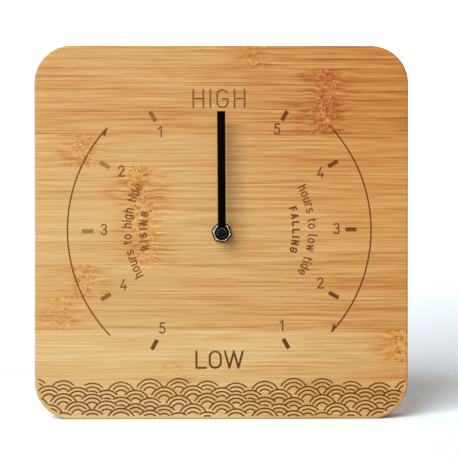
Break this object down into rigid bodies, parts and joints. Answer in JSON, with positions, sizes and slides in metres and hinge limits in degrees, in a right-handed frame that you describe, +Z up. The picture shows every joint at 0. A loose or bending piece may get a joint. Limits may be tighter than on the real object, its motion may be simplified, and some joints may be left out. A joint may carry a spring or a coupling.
{
  "type": "tide clock",
  "caption": "Freestanding tide clock: thick square bamboo board with rounded corners, engraved dial, black baton hand on a hex nut, and a battery quartz movement in a rear pocket.",
  "frame": {"origin": "centre of the flat bottom edge that the clock stands on", "axes": "+X to the right as seen from the front, the dial faces -Y, +Z up"},
  "size_m": [0.2, 0.0347, 0.2],
  "materials": {
    "bamboo": "oiled satin",
    "zinc_steel": "satin",
    "bright_nickel": "polished",
    "black_rubber": "matt",
    "brass_thread": "turned",
    "black_hand": "satin",
    "black_cap": "gloss",
    "black_case": "matt",
    "white_knob": "matt",
    "white_acetal": "satin",
    "natural_plate": "satin",
    "bright_steel": "bright",
    "magnet": "dark",
    "soft_iron": "dull",
    "machine_screw": "bright",
    "bobbin": "matt",
    "enamelled_copper": "lacquered",
    "circuit": "lacquered",
    "chip_resin": "gloss",
    "crystal_can": "bright",
    "battery_steel": "bright",
    "battery_film": "gloss",
    "contact_nickel": "bright"
  },
  "bodies": {
    "clock": {"dial_board": "bamboo", "keyhole_hanger": "zinc_steel", "hanger_screws": "zinc_steel", "hex_nut": "bright_nickel", "rubber_gasket": "black_rubber", "threaded_bush": "brass_thread", "movement_case": "black_case", "movement_cover": "black_case", "stator": "soft_iron", "stator_screws": "machine_screw", "coil_core": "soft_iron", "coil_bobbin": "bobbin", "coil_winding": "enamelled_copper", "coil_leads": "enamelled_copper", "gear_plate": "natural_plate", "plate_screws": "machine_screw", "circuit_board": "circuit", "clock_chip": "chip_resin", "quartz_crystal": "crystal_can", "battery_contact_positive": "contact_nickel", "battery_contact_negative": "contact_nickel"},
    "tide_hand": {"tide_wheel": "white_acetal", "hand_blade": "black_hand", "hand_collet": "black_hand", "hand_cap": "black_cap"},
    "minute_reduction": {"minute_wheel": "white_acetal"},
    "centre_spindle": {"centre_arbor": "bright_steel", "clutch_spring": "bright_steel"},
    "setting_stem": {"setting_knob": "white_knob"},
    "centre_train": {"centre_wheel": "white_acetal"},
    "third_train": {"third_wheel": "white_acetal"},
    "fourth_train": {"fourth_wheel": "white_acetal"},
    "fifth_train": {"fifth_wheel": "white_acetal"},
    "rotor": {"rotor_pinion": "white_acetal", "rotor_magnet": "magnet"},
    "battery": {"battery_can": "battery_steel", "battery_sleeve": "battery_film"}
  },
  "joints": [
    {"name": "hand_turn", "type": "hinge", "parent": "clock", "child": "tide_hand", "pos_m": [0, -0.02175, 0.1], "axis": [0, 1, 0], "continuous": true},
    {"name": "minute_wheel_turn", "type": "hinge", "parent": "clock", "child": "minute_reduction", "pos_m": [-0.00866, 0, 0.105], "axis": [0, 1, 0], "continuous": true},
    {"name": "centre_arbor_turn", "type": "hinge", "parent": "clock", "child": "centre_spindle", "pos_m": [0, 0, 0.1], "axis": [0, 1, 0], "continuous": true},
    {"name": "setting_knob_turn", "type": "hinge", "parent": "clock", "child": "setting_stem", "pos_m": [-0.01509, 0, 0.11266], "axis": [0, 1, 0], "continuous": true},
    {"name": "fourth_wheel_turn", "type": "hinge", "parent": "clock", "child": "fourth_train", "pos_m": [0.01192, 0, 0.11374], "axis": [0, 1, 0], "continuous": true},
    {"name": "third_wheel_turn", "type": "hinge", "parent": "clock", "child": "third_train", "pos_m": [0.01015, 0, 0.10369], "axis": [0, 1, 0], "continuous": true},
    {"name": "centre_wheel_turn", "type": "hinge", "parent": "clock", "child": "centre_train", "pos_m": [0, 0, 0.1], "axis": [0, 1, 0], "continuous": true},
    {"name": "fifth_wheel_turn", "type": "hinge", "parent": "clock", "child": "fifth_train", "pos_m": [0.00404, 0, 0.11513], "axis": [0, 1, 0], "continuous": true},
    {"name": "rotor_turn", "type": "hinge", "parent": "clock", "child": "rotor", "pos_m": [-0.00344, 0, 0.11513], "axis": [0, 1, 0], "continuous": true},
    {"name": "battery_lift", "type": "slide", "parent": "clock", "child": "battery", "axis": [0, 1, 0], "range_m": [0, 0.02]}
  ],
  "couplings": [
    {"joint": "minute_wheel_turn", "follows": "hand_turn", "ratio": -4},
    {"joint": "centre_arbor_turn", "follows": "hand_turn", "ratio": 12},
    {"joint": "setting_knob_turn", "follows": "hand_turn", "ratio": 12},
    {"joint": "third_wheel_turn", "follows": "fourth_wheel_turn", "ratio": -0.13333},
    {"joint": "centre_wheel_turn", "follows": "fourth_wheel_turn", "ratio": 0.016667},
    {"joint": "fifth_wheel_turn", "follows": "fourth_wheel_turn", "ratio": -4},
    {"joint": "rotor_turn", "follows": "fourth_wheel_turn", "ratio": 30}
  ]
}
